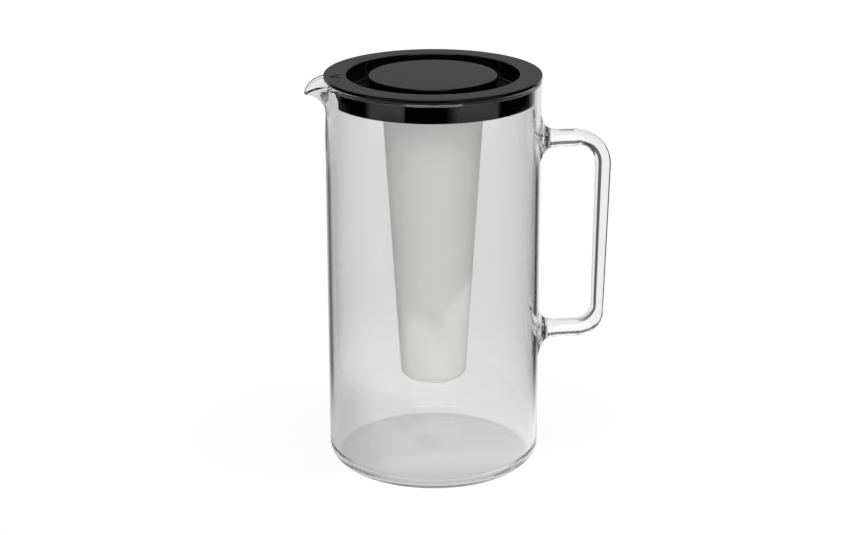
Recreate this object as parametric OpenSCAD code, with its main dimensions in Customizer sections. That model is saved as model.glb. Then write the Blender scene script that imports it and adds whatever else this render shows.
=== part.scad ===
// Glass pitcher with a lid that turns to open the spout and an ice core
// that screws into the underside of the lid.
// The jug stands on z = 0 with its axis on Z, its spout towards -X and its handle towards +X.

/* [Glass jug] */
// Outer diameter of the jug
body_d = 125; // [100:0.5:150]
// Height of the rim above the table
body_h = 233.8; // [200:0.1:280]
// Thickness of the blown wall
glass_wall = 2.4; // [2:0.1:3.2]
// Thickness of the bottom
base_t = 4; // [3:0.1:8]
// Outer radius of the heel between wall and bottom
heel_r = 11; // [6:0.5:16]
// Diameter of the fire-polished bead along the rim
rim_bead_d = 2.8; // [2.6:0.1:3.4]

/* [Spout] */
// How far the beak stands out from the jug
spout_reach = 12.1; // [8:0.1:18]
// How far its tip hangs below the rim
spout_drop = 5.3; // [2:0.1:9]
// Height of wall that flares into the beak
spout_root_h = 22; // [18:0.5:30]
// Half of the angle that the beak takes on the jug
spout_half_angle = 21.5; // [16:0.5:26]

/* [Handle] */
// From the jug's axis to the grip's centre line, at the top
handle_reach = 101.4; // [92:0.1:115]
// How far the grip leans in towards the jug at its foot
handle_lean = 2.5; // [0:0.1:6]
// How far the upper bar's centre line lies below the rim
handle_below_rim = 38.8; // [34:0.1:55]
// Distance between the centre lines of the two bars
handle_span = 118; // [105:0.5:125]
// Diameter of the glass rod in the upper bar
bar_top_d = 10.3; // [8:0.1:12]
// Diameter of the glass rod in the lower bar
bar_foot_d = 10.8; // [8:0.1:12]
// Diameter of the drawn rod at the top of the grip
grip_top_d = 9.3; // [7:0.1:12]
// Diameter of the drawn rod at the foot of the grip
grip_foot_d = 7.7; // [6:0.1:12]
// Bend radius of the rod's centre line at the top
bend_top_r = 16.5; // [10:0.5:18]
// Bend radius of the rod's centre line at the foot
bend_foot_r = 12; // [8:0.5:16]
// How much thinner the rod was drawn in the upper bend
bend_squeeze = 1.3; // [0:0.1:2]
// How much thicker the rod was pushed in the lower bend
bend_swell = 1.2; // [0:0.1:2]
// Diameter of the upper weld, where the rod flares onto the jug
weld_top_d = 32.6; // [18:0.2:34]
// Diameter of the lower weld
weld_foot_d = 31; // [18:0.2:34]
// Length of that flare along the rod
weld_len = 12; // [8:0.5:16]
// How far each weld sits beyond its bar, away from the grip's middle
weld_shift = 1.6; // [0:0.1:2]

/* [Lid] */
// How far the lid's edge stands past the jug's wall
lid_overhang = 0.6; // [0.2:0.1:2]
// Thickness of the lid's top ring
flange_t = 2.1; // [1.6:0.1:3]
// Width of the flat top ring
ring_w = 13; // [11:0.1:15]
// Width of the finger groove round the knob
groove_w = 13; // [10:0.1:14]
// Depth of the finger groove
groove_depth = 11; // [9:0.1:12]
// How far the knob's top lies below the ring's
knob_sink = 0.6; // [0:0.1:2]
// Wall of the lid's moulding
lid_wall = 2.2; // [1.6:0.1:2.4]
// Wall of the skirt inside the jug
skirt_wall = 3; // [2.6:0.1:3.2]
// Length of the skirt below the ring
skirt_h = 12.6; // [11.5:0.1:16]
// Gap between skirt and glass
skirt_gap = 1.2; // [1:0.1:2]
// Height of the pour notch in the skirt
notch_h = 9; // [8:0.1:9]
// Half of the angle that the notch takes
notch_half_angle = 19.5; // [14:0.5:22]
// Radius of the notch's upper corners
notch_corner_r = 6; // [3:0.5:7]
// Length of the arrow mark's arms along the ring's width
arrow_len = 5.8; // [4:0.1:7]
// Width of the arrow mark
arrow_w = 8.6; // [6:0.1:10]
// Width of the arrow mark's strokes
arrow_stroke = 1.5; // [0.6:0.1:2]
// Depth of the arrow mark
arrow_depth = 0.4; // [0.2:0.1:0.8]

/* [Lid seal] */
// Height of the silicone ring below the lid's flange
seal_h = 2.6; // [2.2:0.1:2.8]
// Depth of the groove that holds it
seal_seat_depth = 1.4; // [1:0.1:1.6]
// Gap left between its lips and the glass
seal_gap = 0.25; // [0.2:0.05:0.5]

/* [Ice core] */
// Outer diameter of the core under its collar
core_top_d = 59.4; // [50:0.1:62]
// Outer diameter of the core at its closed end
core_end_d = 38.2; // [30:0.1:46]
// Length of the core below its collar
core_len = 169.8; // [120:0.2:180]
// Wall of the core
core_wall = 2; // [1.6:0.1:2.6]
// Radius round the closed end
core_end_r = 5.5; // [3:0.5:9]
// Thickness of the collar that meets the lid
collar_t = 1.6; // [1.2:0.1:3]
// How far the collar laps under the lid
collar_lap = 2.8; // [2:0.1:5]

/* [Core thread] */
// Rise of the thread in one turn
thread_pitch = 4; // [3.6:0.1:4.4]
// Height of the ridge above the wall that carries it
thread_h = 1.4; // [1.1:0.1:1.5]
// Gap between a ridge's crest and the wall that it faces
thread_gap = 0.6; // [0.5:0.05:0.7]
// Thickness of the core's sealing washer
washer_t = 1.2; // [0.8:0.1:1.4]

/* [Hidden] */

// Fits between pieces that move on each other
rest_gap = 0.2;
seat_gap = 0.1;
cut_over = 1;

// Glass jug
body_r = body_d / 2;
bore_r = body_r - glass_wall;
wall_mid_r = body_r - glass_wall / 2;
bead_r = rim_bead_d / 2;
bead_z = body_h - bead_r;
bead_start = acos(glass_wall / rim_bead_d);
heel_steps = 12;
bead_steps = 12;
round_steps = 144;

// Spout: a patch of wall that flares out, tucked into the cut edges of the plain wall
spout_root_z = body_h - spout_root_h;
spout_turn = 78;
spout_turn_share = 0.4;
spout_bell_power = 2;
spout_drop_power = 3.6;
spout_flare_power = 1.25;
spout_tuck = 0.1;
spout_margin_angle = 1.5;
spout_margin_h = 1.5;
spout_cut_h = 1.1;
spout_end_share = 0.4;
spout_rows = 9;
spout_columns = 26;
spout_last_row_share = 0.88;
spout_step_share = 0.01;
spout_step_angle = 0.2;
bead_arc_steps = 8;

// Handle
handle_top_z = body_h - handle_below_rim;
handle_bottom_z = handle_top_z - handle_span;
handle_sides = 24;
bar_steps = 11;
bar_spacing_power = 1.8;
bend_steps = 10;
bend_squeeze_power = 0.5;
grip_steps = 4;
weld_power = 3.8;
weld_root = 4;
weld_bite = 0.4;
grip_lean_angle = atan(handle_lean / handle_span);

// Lid
lid_r = body_r + lid_overhang;
flange_z = body_h + rest_gap;
lid_z = flange_z + flange_t;
groove_r = lid_r - ring_w;
knob_r = groove_r - groove_w;
knob_z = lid_z - knob_sink;
groove_z = lid_z - groove_depth;
groove_under_z = groove_z - lid_wall;
skirt_r = bore_r - skirt_gap;
skirt_z = flange_z - skirt_h;
socket_r = knob_r - lid_wall;
socket_top_z = knob_z - lid_wall;
edge_r = 0.5;
floor_fillet_r = 1.6;
edge_steps = 4;
arrow_tip_inset = 2.8;
notch_corner_steps = 8;

// Lid seal
seal_seat_r = skirt_r - seal_seat_depth;
seal_seat_z = flange_z - seal_h - 2 * seat_gap;
seal_lip_r = bore_r - seal_gap;
seal_lip_t = 0.9;
seal_tip_t = 0.3;
seal_web_t = 1;

// Ice core
washer_z = socket_top_z - seat_gap - washer_t;
neck_top_z = washer_z - seat_gap;
neck_r = socket_r - thread_h - thread_gap;
collar_z = groove_under_z - seat_gap;
collar_under_z = collar_z - collar_t;
core_end_z = collar_under_z - core_len;
core_taper = atan((core_top_d - core_end_d) / 2 / core_len);
core_end_steps = 8;
core_round_steps = 120;

// Threads: the core's ridge and the lid's ridge run half a pitch apart
thread_turns = 1;
ridge_root_w = 1.9;
ridge_crest_w = 1.1;
ridge_sink = 0.4;
ridge_steps_per_turn = 48;
ridge_fade_share = 0.12;
ridge_height_share = 0.65;
core_ridge_z = collar_z + thread_pitch * ridge_height_share;
lid_ridge_z = core_ridge_z - thread_pitch / 4;

// Points along an arc of radius r round [x, y], from angle a to angle b
function arc(x, y, r, a, b, steps) =
    [for (i = [0 : steps]) let (t = a + (b - a) * i / steps) [x + r * cos(t), y + r * sin(t)]];

// Triangles that close a stack of rings, each of n points, with flat ends
function tube_faces(rings, n) = concat(
    [for (i = [0 : rings - 2], j = [0 : n - 1]) let (k = (j + 1) % n)
        [i * n + j, i * n + k, (i + 1) * n + k]],
    [for (i = [0 : rings - 2], j = [0 : n - 1]) let (k = (j + 1) % n)
        [i * n + j, (i + 1) * n + k, (i + 1) * n + j]],
    [[for (j = [n - 1 : -1 : 0]) j]],
    [[for (j = [0 : n - 1]) (rings - 1) * n + j]]);

// The beak's outline: 1 on its centre line, 0 at its edges on the jug
function spout_bell(a) =
    abs(a) < spout_half_angle ? pow(cos(90 * a / spout_half_angle), spout_bell_power) : 0;

// Middle of the glass at angle a from the spout's centre line; u runs from root to rim
function spout_mid(a, u) =
    let (bell = spout_bell(a),
        turn = spout_turn * (spout_turn_share + (1 - spout_turn_share) * bell),
        out = pow((1 - cos(turn * u)) / (1 - cos(turn)), spout_flare_power),
        up = sin(turn * u) / sin(turn),
        top = bead_z - spout_drop * pow(bell, spout_drop_power),
        r = wall_mid_r + spout_reach * bell * out)
    [-r * cos(a), -r * sin(a), spout_root_z + (top - spout_root_z) * up];

function unit(v) = v / norm(v);

// Directions on that surface: up the wall, and out of it
function spout_up(a, u) = unit(spout_mid(a, u) - spout_mid(a, u - spout_step_share));
function spout_out(a, u) =
    unit(cross(spout_mid(a + spout_step_angle, u) - spout_mid(a - spout_step_angle, u),
        spout_up(a, u)));

// One section through the spout's wall: up its outside, over the bead, down its inside
function spout_section(a, share) =
    let (half = (glass_wall / 2 - spout_tuck) * share,
        bead = (bead_r - spout_tuck) * share,
        open = acos(half / bead),
        up = spout_up(a, 1),
        out = spout_out(a, 1))
    concat(
        [spout_mid(a, 0) + spout_out(a, 0) * half - [0, 0, spout_margin_h]],
        [for (i = [0 : spout_rows - 1]) let (u = spout_last_row_share * i / (spout_rows - 1))
            spout_mid(a, u) + spout_out(a, u) * half],
        [for (i = [0 : bead_arc_steps]) let (t = -open + (180 + 2 * open) * i / bead_arc_steps)
            spout_mid(a, 1) + bead * (cos(t) * out + sin(t) * up)],
        [for (i = [spout_rows - 1 : -1 : 0]) let (u = spout_last_row_share * i / (spout_rows - 1))
            spout_mid(a, u) - spout_out(a, u) * half],
        [spout_mid(a, 0) - spout_out(a, 0) * half - [0, 0, spout_margin_h]]);

// Its side ends thin down inside the plain wall
module spout_patch() {
    span = spout_half_angle + spout_margin_angle;
    sections = [for (i = [0 : spout_columns])
        spout_section(2 * span * i / spout_columns - span,
            i == 0 || i == spout_columns ? spout_end_share : 1)];
    points = [for (s = sections, p = s) p];
    polyhedron(points, tube_faces(spout_columns + 1, len(sections[0])));
}

module jug_wall() {
    profile = concat(
        [[0, 0]],
        arc(body_r - heel_r, heel_r, heel_r, -90, 0, heel_steps),
        arc(wall_mid_r, bead_z, bead_r, -bead_start, 180 + bead_start, bead_steps),
        arc(body_r - heel_r, base_t + heel_r - glass_wall, heel_r - glass_wall, 0, -90, heel_steps),
        [[0, base_t]]);
    rotate_extrude($fn = round_steps) polygon(profile);
}

module spout_gap() {
    rotate([0, 0, 180 - spout_half_angle])
        rotate_extrude(angle = 2 * spout_half_angle, $fn = round_steps)
            translate([bore_r - cut_over, spout_root_z + spout_cut_h])
                square([glass_wall + 2 * cut_over, spout_root_h + cut_over]);
}

module glass_body() {
    color([0.86, 0.9, 0.89, 0.35])
        union() {
            difference() {
                jug_wall();
                spout_gap();
            }
            spout_patch();
        }
}

// Distance d along a bar from the jug's surface sets how far the weld swells,
// and how closely its rings hug the jug's round wall
function weld_swell(d) = pow(max(0, 1 - max(0, d) / weld_len), weld_power);
function weld_hug(d) = max(0, 1 - max(0, d) / weld_len);

// That distance at ring i of a bar that ends at x; the rings crowd at the weld
function bar_along(i, x) = i == 0 ? -weld_root :
    (x - body_r + weld_bite) * pow((i - 1) / (bar_steps - 1), bar_spacing_power) - weld_bite;

// Ring i of a bar as [x, z, heading, radius, hug]; ring 0 is flat and lies inside the jug
function bar_ring(i, x, z, side, bar_d, weld_d) =
    let (d = bar_along(i, x))
    [body_r + d, z + side * weld_shift * weld_swell(d), side > 0 ? 0 : -180,
        (bar_d + (weld_d - bar_d) * weld_swell(d)) / 2, i == 0 ? 0 : weld_hug(d)];

// Ring of a bend of radius r round [x, z], at turn t; its diameter runs from a to b over share s
function bend_ring(x, z, r, t, a, b, s, extra) =
    [x + r * sin(t), z + r * cos(t), -t, (a + (b - a) * s + extra) / 2, 0];

// Rings of the handle from the upper weld to the lower one
function handle_rings() =
    let (upper_turn = 90 + grip_lean_angle,
        lower_turn = 90 - grip_lean_angle,
        upper_x = handle_reach - bend_top_r / cos(grip_lean_angle) * (1 + sin(grip_lean_angle)),
        lower_x = handle_reach - handle_lean
            - bend_foot_r / cos(grip_lean_angle) * (1 - sin(grip_lean_angle)),
        upper_z = handle_top_z - bend_top_r,
        lower_z = handle_bottom_z + bend_foot_r,
        p = bend_ring(upper_x, upper_z, bend_top_r, upper_turn, 0, 0, 0, 0),
        q = bend_ring(lower_x, lower_z, bend_foot_r, upper_turn, 0, 0, 0, 0))
    concat(
        [for (i = [0 : bar_steps]) bar_ring(i, upper_x, handle_top_z, 1, bar_top_d, weld_top_d)],
        [for (i = [1 : bend_steps]) let (s = i / bend_steps)
            bend_ring(upper_x, upper_z, bend_top_r, upper_turn * s, bar_top_d, grip_top_d, s,
                -bend_squeeze * sin(180 * pow(s, bend_squeeze_power)))],
        [for (i = [1 : grip_steps - 1]) let (s = i / grip_steps)
            [p[0] + (q[0] - p[0]) * s, p[1] + (q[1] - p[1]) * s, -upper_turn,
                (grip_top_d + (grip_foot_d - grip_top_d) * s) / 2, 0]],
        [for (i = [0 : bend_steps - 1]) let (s = i / bend_steps)
            bend_ring(lower_x, lower_z, bend_foot_r, upper_turn + lower_turn * s,
                grip_foot_d, bar_foot_d, s, bend_swell * sin(180 * s))],
        [for (i = [bar_steps : -1 : 0])
            bar_ring(i, lower_x, handle_bottom_z, -1, bar_foot_d, weld_foot_d)]);

module glass_handle() {
    rings = handle_rings();
    points = [for (r = rings, j = [0 : handle_sides - 1])
        let (t = 360 * j / handle_sides,
            y = r[3] * sin(t),
            fall = r[4] > 0 ? r[4] * (sqrt(pow(body_r, 2) - pow(y, 2)) - body_r) : 0)
        [r[0] + fall - r[3] * cos(t) * sin(r[2]), y, r[1] + r[3] * cos(t) * cos(r[2])]];
    color([0.88, 0.92, 0.91, 0.45])
        difference() {
            polyhedron(points, tube_faces(len(rings), handle_sides));
            cylinder(r = body_r, h = handle_top_z + weld_top_d, $fn = round_steps);
        }
}

// A helical ridge on a wall of radius r; side is 1 to stand out from it, -1 to stand in
module thread_ridge(r, z, side) {
    steps = thread_turns * ridge_steps_per_turn;
    sections = [for (i = [0 : steps])
        let (share = i / steps,
            fade = min(1, share / ridge_fade_share, (1 - share) / ridge_fade_share),
            turn = 360 * thread_turns * share,
            mid_z = z + thread_pitch * thread_turns * share,
            root = r - side * ridge_sink,
            crest = r + side * (thread_h * fade - ridge_sink * (1 - fade) / 2),
            foot_w = ridge_root_w / 2,
            tip_w = ridge_crest_w / 2)
        [[root, turn, mid_z - foot_w], [crest, turn, mid_z - tip_w],
            [crest, turn, mid_z + tip_w], [root, turn, mid_z + foot_w]]];
    points = [for (s = sections, p = (side > 0 ? s : [s[3], s[2], s[1], s[0]]))
        [p[0] * cos(p[1]), p[0] * sin(p[1]), p[2]]];
    polyhedron(points, tube_faces(steps + 1, 4));
}

module lid_shell() {
    profile = concat(
        [[0, knob_z]],
        arc(knob_r - edge_r, knob_z - edge_r, edge_r, 90, 0, edge_steps),
        arc(knob_r + floor_fillet_r, groove_z + floor_fillet_r, floor_fillet_r, 180, 270, edge_steps),
        arc(groove_r - floor_fillet_r, groove_z + floor_fillet_r, floor_fillet_r, -90, 0, edge_steps),
        arc(groove_r + edge_r, lid_z - edge_r, edge_r, 180, 90, edge_steps),
        arc(lid_r - edge_r, lid_z - edge_r, edge_r, 90, 0, edge_steps),
        arc(lid_r - edge_r, flange_z + edge_r, edge_r, 0, -90, edge_steps),
        [[seal_seat_r, flange_z], [seal_seat_r, seal_seat_z], [skirt_r, seal_seat_z]],
        arc(skirt_r - edge_r, skirt_z + edge_r, edge_r, 0, -90, edge_steps),
        arc(skirt_r - skirt_wall + edge_r, skirt_z + edge_r, edge_r, 270, 180, edge_steps),
        [[skirt_r - skirt_wall, flange_z], [groove_r + lid_wall, flange_z],
            [groove_r + lid_wall, groove_under_z], [socket_r, groove_under_z],
            [socket_r, socket_top_z], [0, socket_top_z]]);
    rotate_extrude($fn = round_steps) polygon(profile);
}

// Pour notch: an arch through the skirt under the seal's seat
module pour_notch() {
    half_w = skirt_r * sin(notch_half_angle);
    top_z = skirt_z + notch_h;
    intersection() {
        difference() {
            translate([0, 0, skirt_z - cut_over])
                cylinder(r = skirt_r + cut_over, h = notch_h + 2 * cut_over, $fn = round_steps);
            translate([0, 0, skirt_z - 2 * cut_over])
                cylinder(r = skirt_r - skirt_wall - cut_over, h = notch_h + 4 * cut_over,
                    $fn = round_steps);
        }
        rotate([90, 0, -90])
            linear_extrude(height = lid_r)
                polygon(concat(
                    arc(half_w - notch_corner_r, top_z - notch_corner_r, notch_corner_r,
                        0, 90, notch_corner_steps),
                    arc(notch_corner_r - half_w, top_z - notch_corner_r, notch_corner_r,
                        90, 180, notch_corner_steps),
                    [[-half_w, skirt_z - 2 * cut_over], [half_w, skirt_z - 2 * cut_over]]));
    }
}

// Arrow mark: a chevron sunk into the ring, pointing to the spout
module arrow_mark() {
    tip_x = -lid_r + arrow_tip_inset;
    back_x = tip_x + arrow_len;
    stroke = arrow_stroke / sin(atan(arrow_w / 2 / arrow_len));
    translate([0, 0, lid_z - arrow_depth])
        linear_extrude(height = arrow_depth + cut_over)
            polygon([[tip_x, 0], [back_x, -arrow_w / 2], [back_x + stroke, -arrow_w / 2],
                [tip_x + stroke, 0], [back_x + stroke, arrow_w / 2], [back_x, arrow_w / 2]]);
}

module lid() {
    color([0.12, 0.12, 0.12])
        union() {
            difference() {
                lid_shell();
                pour_notch();
                arrow_mark();
            }
            rotate([0, 0, 90]) thread_ridge(socket_r, lid_ridge_z, -1);
        }
}

module lid_seal() {
    inner_r = seal_seat_r + seat_gap;
    web_r = inner_r + seal_web_t;
    top_z = flange_z - seat_gap;
    low_z = seal_seat_z + seat_gap;
    color([0.2, 0.2, 0.2])
        rotate_extrude($fn = round_steps)
            polygon([[inner_r, low_z], [web_r, low_z],
                [seal_lip_r, low_z + seal_lip_t - seal_tip_t], [seal_lip_r, low_z + seal_lip_t],
                [web_r, low_z + seal_lip_t], [web_r, top_z - seal_lip_t],
                [seal_lip_r, top_z - seal_tip_t], [seal_lip_r, top_z], [inner_r, top_z]]);
}

module core_shell() {
    inner_end_r = core_end_r - core_wall;
    slope = tan(core_taper);
    mid_z = core_end_z + core_end_r;
    mid_r = core_top_d / 2 - (collar_under_z - mid_z) * slope - core_end_r / cos(core_taper);
    inner_top_r = mid_r + (collar_under_z - mid_z) * slope + inner_end_r / cos(core_taper);
    collar_r = socket_r + collar_lap;
    profile = concat(
        [[0, core_end_z]],
        arc(mid_r, mid_z, core_end_r, -90, -core_taper, core_end_steps),
        [[core_top_d / 2, collar_under_z]],
        arc(collar_r - edge_r, collar_under_z + edge_r, edge_r, -90, 0, edge_steps),
        [[collar_r, collar_z], [neck_r, collar_z]],
        arc(neck_r - edge_r, neck_top_z - edge_r, edge_r, 0, 90, edge_steps),
        [[neck_r - core_wall, neck_top_z], [neck_r - core_wall, collar_z + core_wall],
            [inner_top_r, collar_under_z]],
        arc(mid_r, mid_z, inner_end_r, -core_taper, -90, core_end_steps),
        [[0, core_end_z + core_wall]]);
    rotate_extrude($fn = core_round_steps) polygon(profile);
}

module ice_core() {
    color([0.8, 0.81, 0.8, 0.8])
        union() {
            core_shell();
            thread_ridge(neck_r, core_ridge_z, 1);
        }
}

module core_seal() {
    color([0.9, 0.9, 0.9])
        translate([0, 0, washer_z])
            difference() {
                cylinder(r = socket_r - seal_gap, h = washer_t, $fn = core_round_steps);
                translate([0, 0, -cut_over])
                    cylinder(r = neck_r - core_wall, h = washer_t + 2 * cut_over,
                        $fn = core_round_steps);
            }
}

glass_body();
glass_handle();
lid();
lid_seal();
ice_core();
core_seal();
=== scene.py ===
import math

import bpy
import bmesh
import numpy as np
from mathutils import Matrix


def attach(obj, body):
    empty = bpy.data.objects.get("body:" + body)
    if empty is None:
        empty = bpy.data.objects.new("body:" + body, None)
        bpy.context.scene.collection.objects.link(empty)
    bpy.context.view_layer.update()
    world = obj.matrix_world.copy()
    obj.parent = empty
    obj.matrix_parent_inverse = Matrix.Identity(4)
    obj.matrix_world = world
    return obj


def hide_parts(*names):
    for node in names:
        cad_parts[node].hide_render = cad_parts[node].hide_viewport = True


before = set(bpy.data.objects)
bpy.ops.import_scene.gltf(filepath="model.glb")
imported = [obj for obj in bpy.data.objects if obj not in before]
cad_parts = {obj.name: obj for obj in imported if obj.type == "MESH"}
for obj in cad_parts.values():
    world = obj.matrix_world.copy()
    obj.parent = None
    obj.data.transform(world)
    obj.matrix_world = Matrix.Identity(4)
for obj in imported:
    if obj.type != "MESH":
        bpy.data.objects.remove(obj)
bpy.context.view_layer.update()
print("stage: frame loaded,", len(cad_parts), "nodes")

# The jug stands on z = 0 with its axis on Z, its spout towards -X and its handle towards +X.
# Lengths are in millimetres and angles in degrees. addSurface turns the lengths to metres.
mm = 0.001
mergeDistance = 0.0001  # points that lie closer are one point, which closes poles and end caps
creaseAngle = 34  # edges that fold more stay sharp in the shading


# meshes
def arcPoints(x, y, radius, start, end, steps):
    # points on a circle round (x, y): x + r cos t, y + r sin t
    t = np.radians(np.linspace(start, end, steps + 1))
    return np.column_stack((x + radius * np.cos(t), y + radius * np.sin(t)))


def linePoints(a, b, steps):
    # evenly spaced points from a to b, without a: a + (b - a) share
    share = np.linspace(0, 1, steps + 1)[1:, None]
    return np.array(a) + (np.array(b) - np.array(a)) * share


def evenAngles(columns):
    # angles spaced evenly all the way round
    return np.linspace(0, 360, columns, endpoint=False)


def revolve(profile, angles):
    # (r, z) turned about Z: x = -r cos a, y = -r sin a, so that angle 0 faces the spout
    a = np.radians(angles)
    r, z = profile[:, 0][:, None], profile[:, 1][:, None]
    return np.stack((-r * np.cos(a), -r * np.sin(a), z + 0 * a), axis=-1)


def prismGrid(outline, low, high):
    # a flat outline raised from low to high, closed by fans of faces round its middle at both ends
    outline = np.array(outline)
    centre = outline.mean(axis=0)
    rings = []
    for share, level in ((0, low), (1, low), (1, high), (0, high)):
        flat = centre + (outline - centre) * share
        rings.append(np.column_stack((flat, np.full(len(flat), level))))
    return np.array(rings)


def gridFaces(rows, columns):
    # quads (i, j), (i, j + 1), (i + 1, j + 1), (i + 1, j) of a grid whose last column meets its first
    i, j = np.meshgrid(np.arange(rows - 1), np.arange(columns), indexing="ij")
    k = (j + 1) % columns
    quads = (i * columns + j, i * columns + k, (i + 1) * columns + k, (i + 1) * columns + j)
    return np.stack(quads, axis=-1).reshape(-1, 4)


def signedVolume(points, quads):
    # a sixth of the sum of a . (b x c) + a . (c x d), which is below 0 where the quads face inwards
    a, b, c, d = (points[quads[:, n]] for n in range(4))
    halves = np.einsum("ij,ij->i", a, np.cross(b, c)) + np.einsum("ij,ij->i", a, np.cross(c, d))
    return halves.sum() / 6


def addSurface(name, grids, sharpAngle=creaseAngle):
    # joins closed grids of points (rows, columns, 3) into one mesh that faces outwards
    points, quads, start = [], [], 0
    for grid in grids:
        rows, columns, _ = grid.shape
        flat, faces = grid.reshape(-1, 3) * mm, gridFaces(rows, columns)
        if signedVolume(flat, faces) < 0:
            faces = faces[:, ::-1]
        points.append(flat)
        quads.append(faces + start)
        start += len(flat)
    mesh = bpy.data.meshes.new(name)
    mesh.from_pydata(np.vstack(points).tolist(), [], np.vstack(quads).tolist())
    shape = bmesh.new()
    shape.from_mesh(mesh)
    bmesh.ops.remove_doubles(shape, verts=shape.verts, dist=mergeDistance * mm)
    shape.to_mesh(mesh)
    shape.free()
    mesh.shade_smooth()
    mesh.set_sharp_from_angle(angle=math.radians(sharpAngle))
    piece = bpy.data.objects.new(name, mesh)
    bpy.context.scene.collection.objects.link(piece)
    return piece


def cutAway(piece, cutters):
    # takes the cutters' solids off the piece and keeps the result as its mesh
    for cutter in cutters:
        cut = piece.modifiers.new("cut", "BOOLEAN")
        cut.object = cutter
        cut.operation = "DIFFERENCE"
        cut.solver = "EXACT"
    seen = piece.evaluated_get(bpy.context.evaluated_depsgraph_get())
    mesh = bpy.data.meshes.new_from_object(seen)
    piece.modifiers.clear()
    piece.data = mesh
    mesh.set_sharp_from_angle(angle=math.radians(creaseAngle))
    for cutter in cutters:
        bpy.data.objects.remove(cutter)


# materials
def linear(hexColour):
    # sRGB hex to Blender's linear colour
    c = np.array([int(hexColour[i:i + 2], 16) / 255 for i in (1, 3, 5)])
    c = np.where(c <= 0.04045, c / 12.92, ((c + 0.055) / 1.055) ** 2.4)
    return (*c.tolist(), 1.0)


def addNode(tree, kind, settings=None, links=None):
    # settings are the node's own properties or its sockets' values, and links are its sockets' sources
    node = tree.nodes.new(kind)
    for key, value in (settings or {}).items():
        if isinstance(key, str) and hasattr(node, key):
            setattr(node, key, value)
        else:
            node.inputs[key].default_value = value
    for key, source in (links or {}).items():
        tree.links.new(source, node.inputs[key])
    return node


def addRamp(tree, source, stops):
    # a smooth grey ramp; stops are (place, brightness)
    ramp = addNode(tree, "ShaderNodeValToRGB", links={"Fac": source})
    ramp.color_ramp.interpolation = "EASE"
    elements = ramp.color_ramp.elements
    while len(elements) < len(stops):
        elements.new(0.5)
    for element, (place, level) in zip(elements, stops):
        element.position = place
        element.color = (level, level, level, 1)
    return ramp.outputs["Color"]


def newMaterial(name):
    material = bpy.data.materials.new(name)
    material.use_nodes = True
    material.node_tree.nodes.clear()
    return material, material.node_tree


# glass jug; beadTuck is how far under the bead's middle the two skins of the wall end, and turnShare is
# how much of the beak's turn is left at its edges
jug = {
    "radius": 62.48, "height": 233.8, "wall": 2.38, "base": 4.0, "heel": 11.0, "innerHeel": 8.6,
    "bead": 2.8, "beadTuck": 0.9, "spoutReach": 12.1, "spoutDrop": 5.3, "spoutRoot": 22.0,
    "spoutHalfAngle": 21.5, "spoutTurn": 78.0, "turnShare": 0.4, "bellPower": 2.0, "dropPower": 3.6,
    "flarePower": 1.25, "tipThinning": 0.45, "fineStep": 0.5, "fineMargin": 3.5, "plainStep": 1.5,
    "baseRings": 6, "heelSteps": 24, "innerHeelSteps": 20, "wallRows": 18, "flareRows": 26,
    "beadSteps": 20, "sharpAngle": 60,
}
jugLook = {"colour": "#F8F8F8", "shade": "#F9F9F9", "ior": 1.474, "drawLine": 14.0, "drawShare": 0.08,
           "drawDepth": 0.02, "bump": 0.12}


def spoutBell(a):
    # 1 on the beak's centre line, 0 at its edges: cos(90 a / halfAngle) to a power
    inside = np.clip(np.abs(a) / jug["spoutHalfAngle"], 0, 1)
    return np.cos(np.pi / 2 * inside) ** jug["bellPower"]


def wallMid(a, u):
    # middle of the glass from the beak's root (u = 0) to the rim (u = 1) at angle a in degrees:
    # r = radius - wall / 2 + reach bell ((1 - cos tu) / (1 - cos t)) ** flare and
    # z = root + (top - root) sin tu / sin t, where the turn t falls from its full value on the beak's
    # centre line to a share of it at its edges
    bell = spoutBell(a)
    turn = math.radians(jug["spoutTurn"]) * (jug["turnShare"] + (1 - jug["turnShare"]) * bell)
    beadZ = jug["height"] - jug["bead"] / 2
    rootZ = jug["height"] - jug["spoutRoot"]
    top = beadZ - jug["spoutDrop"] * bell ** jug["dropPower"]
    out = (np.maximum(0, 1 - np.cos(turn * u)) / (1 - np.cos(turn))) ** jug["flarePower"]
    r = jug["radius"] - jug["wall"] / 2 + jug["spoutReach"] * bell * out
    z = rootZ + (top - rootZ) * np.sin(turn * u) / np.sin(turn)
    t = np.radians(a)
    return np.stack((-r * np.cos(t), -r * np.sin(t), z), axis=-1)


def unit(v):
    # v divided by its length
    return v / np.linalg.norm(v, axis=-1, keepdims=True)


def wallFrame(a, u):
    # directions up the wall and out of it, from small steps of wallMid in u and a
    shareStep, angleStep = 0.01, 0.2
    up = unit(wallMid(a, u) - wallMid(a, u - shareStep))
    out = unit(np.cross(wallMid(a + angleStep, u) - wallMid(a - angleStep, u), up))
    return up, out


def jugAngles():
    # fine steps across the beak and plain ones round the rest
    edge = jug["spoutHalfAngle"] + jug["fineMargin"]
    fine = np.linspace(-edge, edge, int(2 * edge / jug["fineStep"]) + 1)
    plain = np.linspace(edge, 360 - edge, int((360 - 2 * edge) / jug["plainStep"]) + 1)[1:-1]
    return np.concatenate((fine, plain))


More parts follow.
